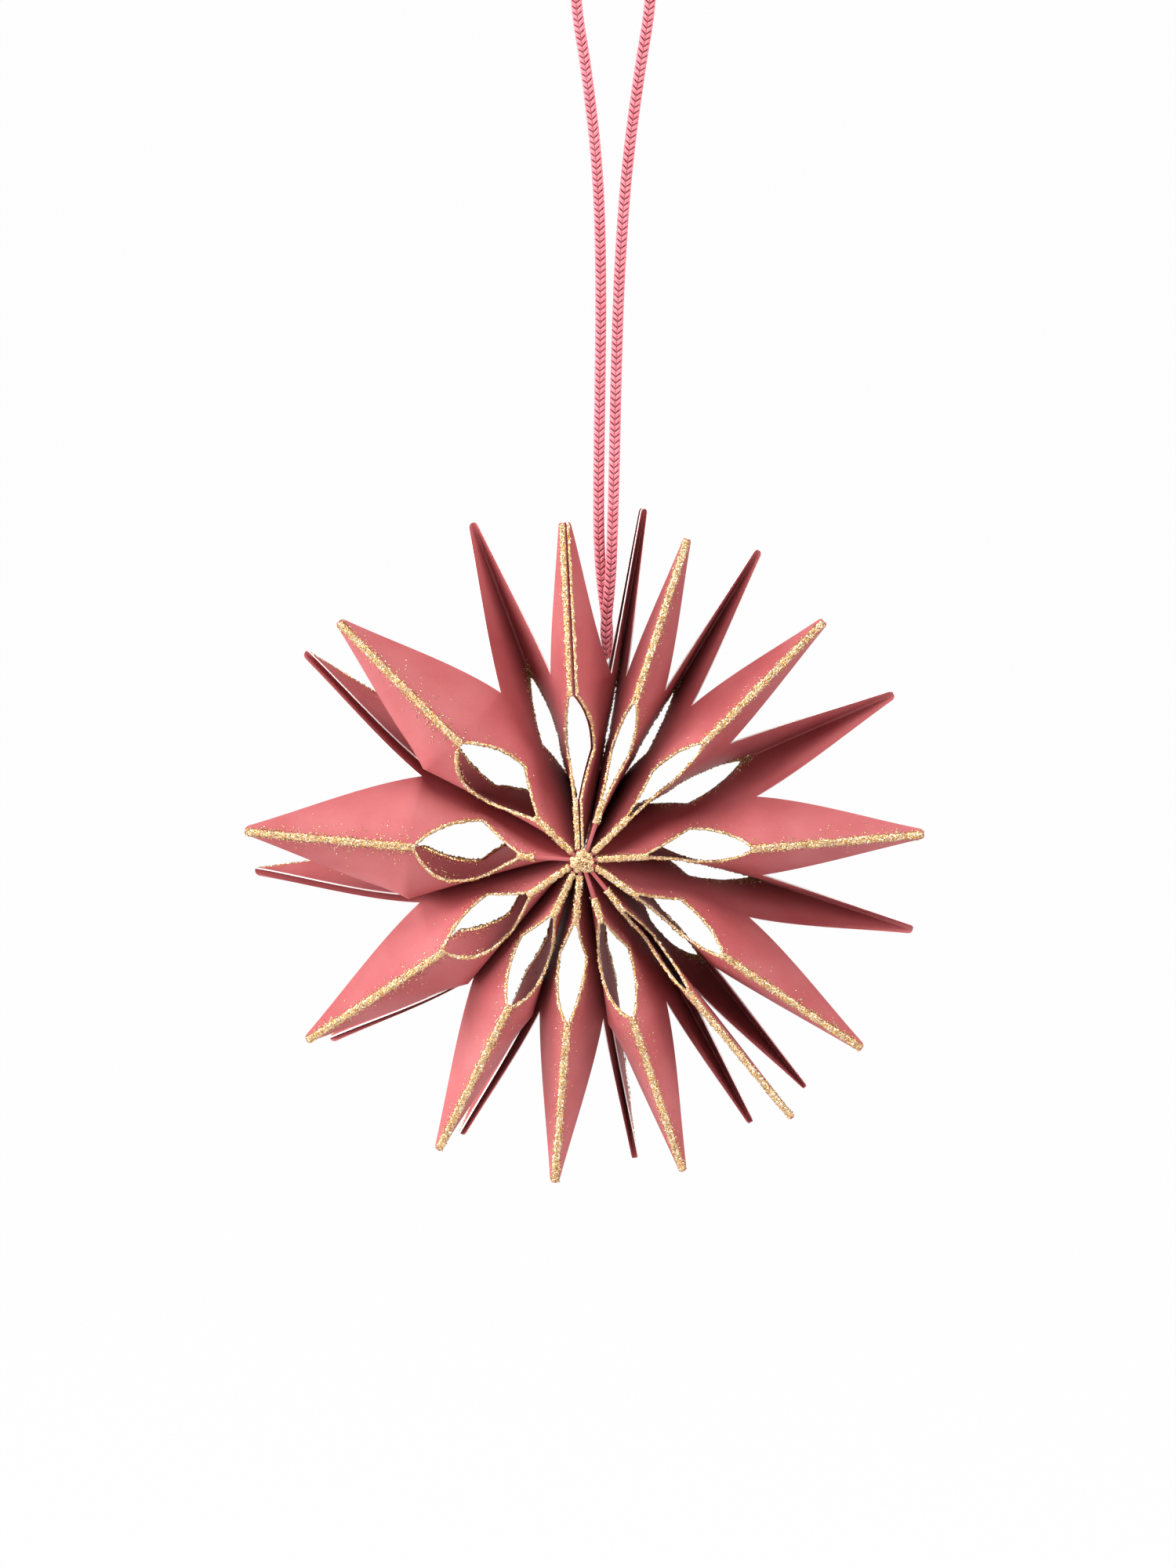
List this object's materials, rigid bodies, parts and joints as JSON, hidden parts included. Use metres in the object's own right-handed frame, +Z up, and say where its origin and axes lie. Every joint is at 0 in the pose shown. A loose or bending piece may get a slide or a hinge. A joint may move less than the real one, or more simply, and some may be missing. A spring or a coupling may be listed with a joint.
{
  "type": "paper star ornament",
  "caption": "Pleated star folded from one strip of card, with cut points and holes, glitter glue lines and a cord loop to hang it by.",
  "frame": {"origin": "inside top of the cord loop, where the star hangs on its hook", "axes": "+Z up, the front of the star faces -Y, +X to the right seen from the front"},
  "size_m": [0.1349, 0.0298, 0.2497],
  "materials": {
    "card": "matt dusty red card, white at its cut edges",
    "glitter_glue": "gold glitter set in clear glue",
    "cotton_cord": "braided cotton cord"
  },
  "bodies": {
    "root": {"pleated_star": "card", "glitter_front_01": "glitter_glue", "glitter_front_02": "glitter_glue", "glitter_front_03": "glitter_glue", "glitter_front_04": "glitter_glue", "glitter_front_05": "glitter_glue", "glitter_front_06": "glitter_glue", "glitter_front_07": "glitter_glue", "glitter_front_08": "glitter_glue", "glitter_front_09": "glitter_glue", "glitter_front_10": "glitter_glue", "glitter_front_11": "glitter_glue", "glitter_front_12": "glitter_glue", "glitter_back_01": "glitter_glue", "glitter_back_02": "glitter_glue", "glitter_back_03": "glitter_glue", "glitter_back_04": "glitter_glue", "glitter_back_05": "glitter_glue", "glitter_back_06": "glitter_glue", "glitter_back_07": "glitter_glue", "glitter_back_08": "glitter_glue", "glitter_back_09": "glitter_glue", "glitter_back_10": "glitter_glue", "glitter_back_11": "glitter_glue", "glitter_back_12": "glitter_glue", "glitter_join_front": "glitter_glue", "glitter_join_back": "glitter_glue", "hub_blob_front": "glitter_glue", "hub_blob_back": "glitter_glue", "hanging_cord": "cotton_cord"}
  },
  "joints": []
}
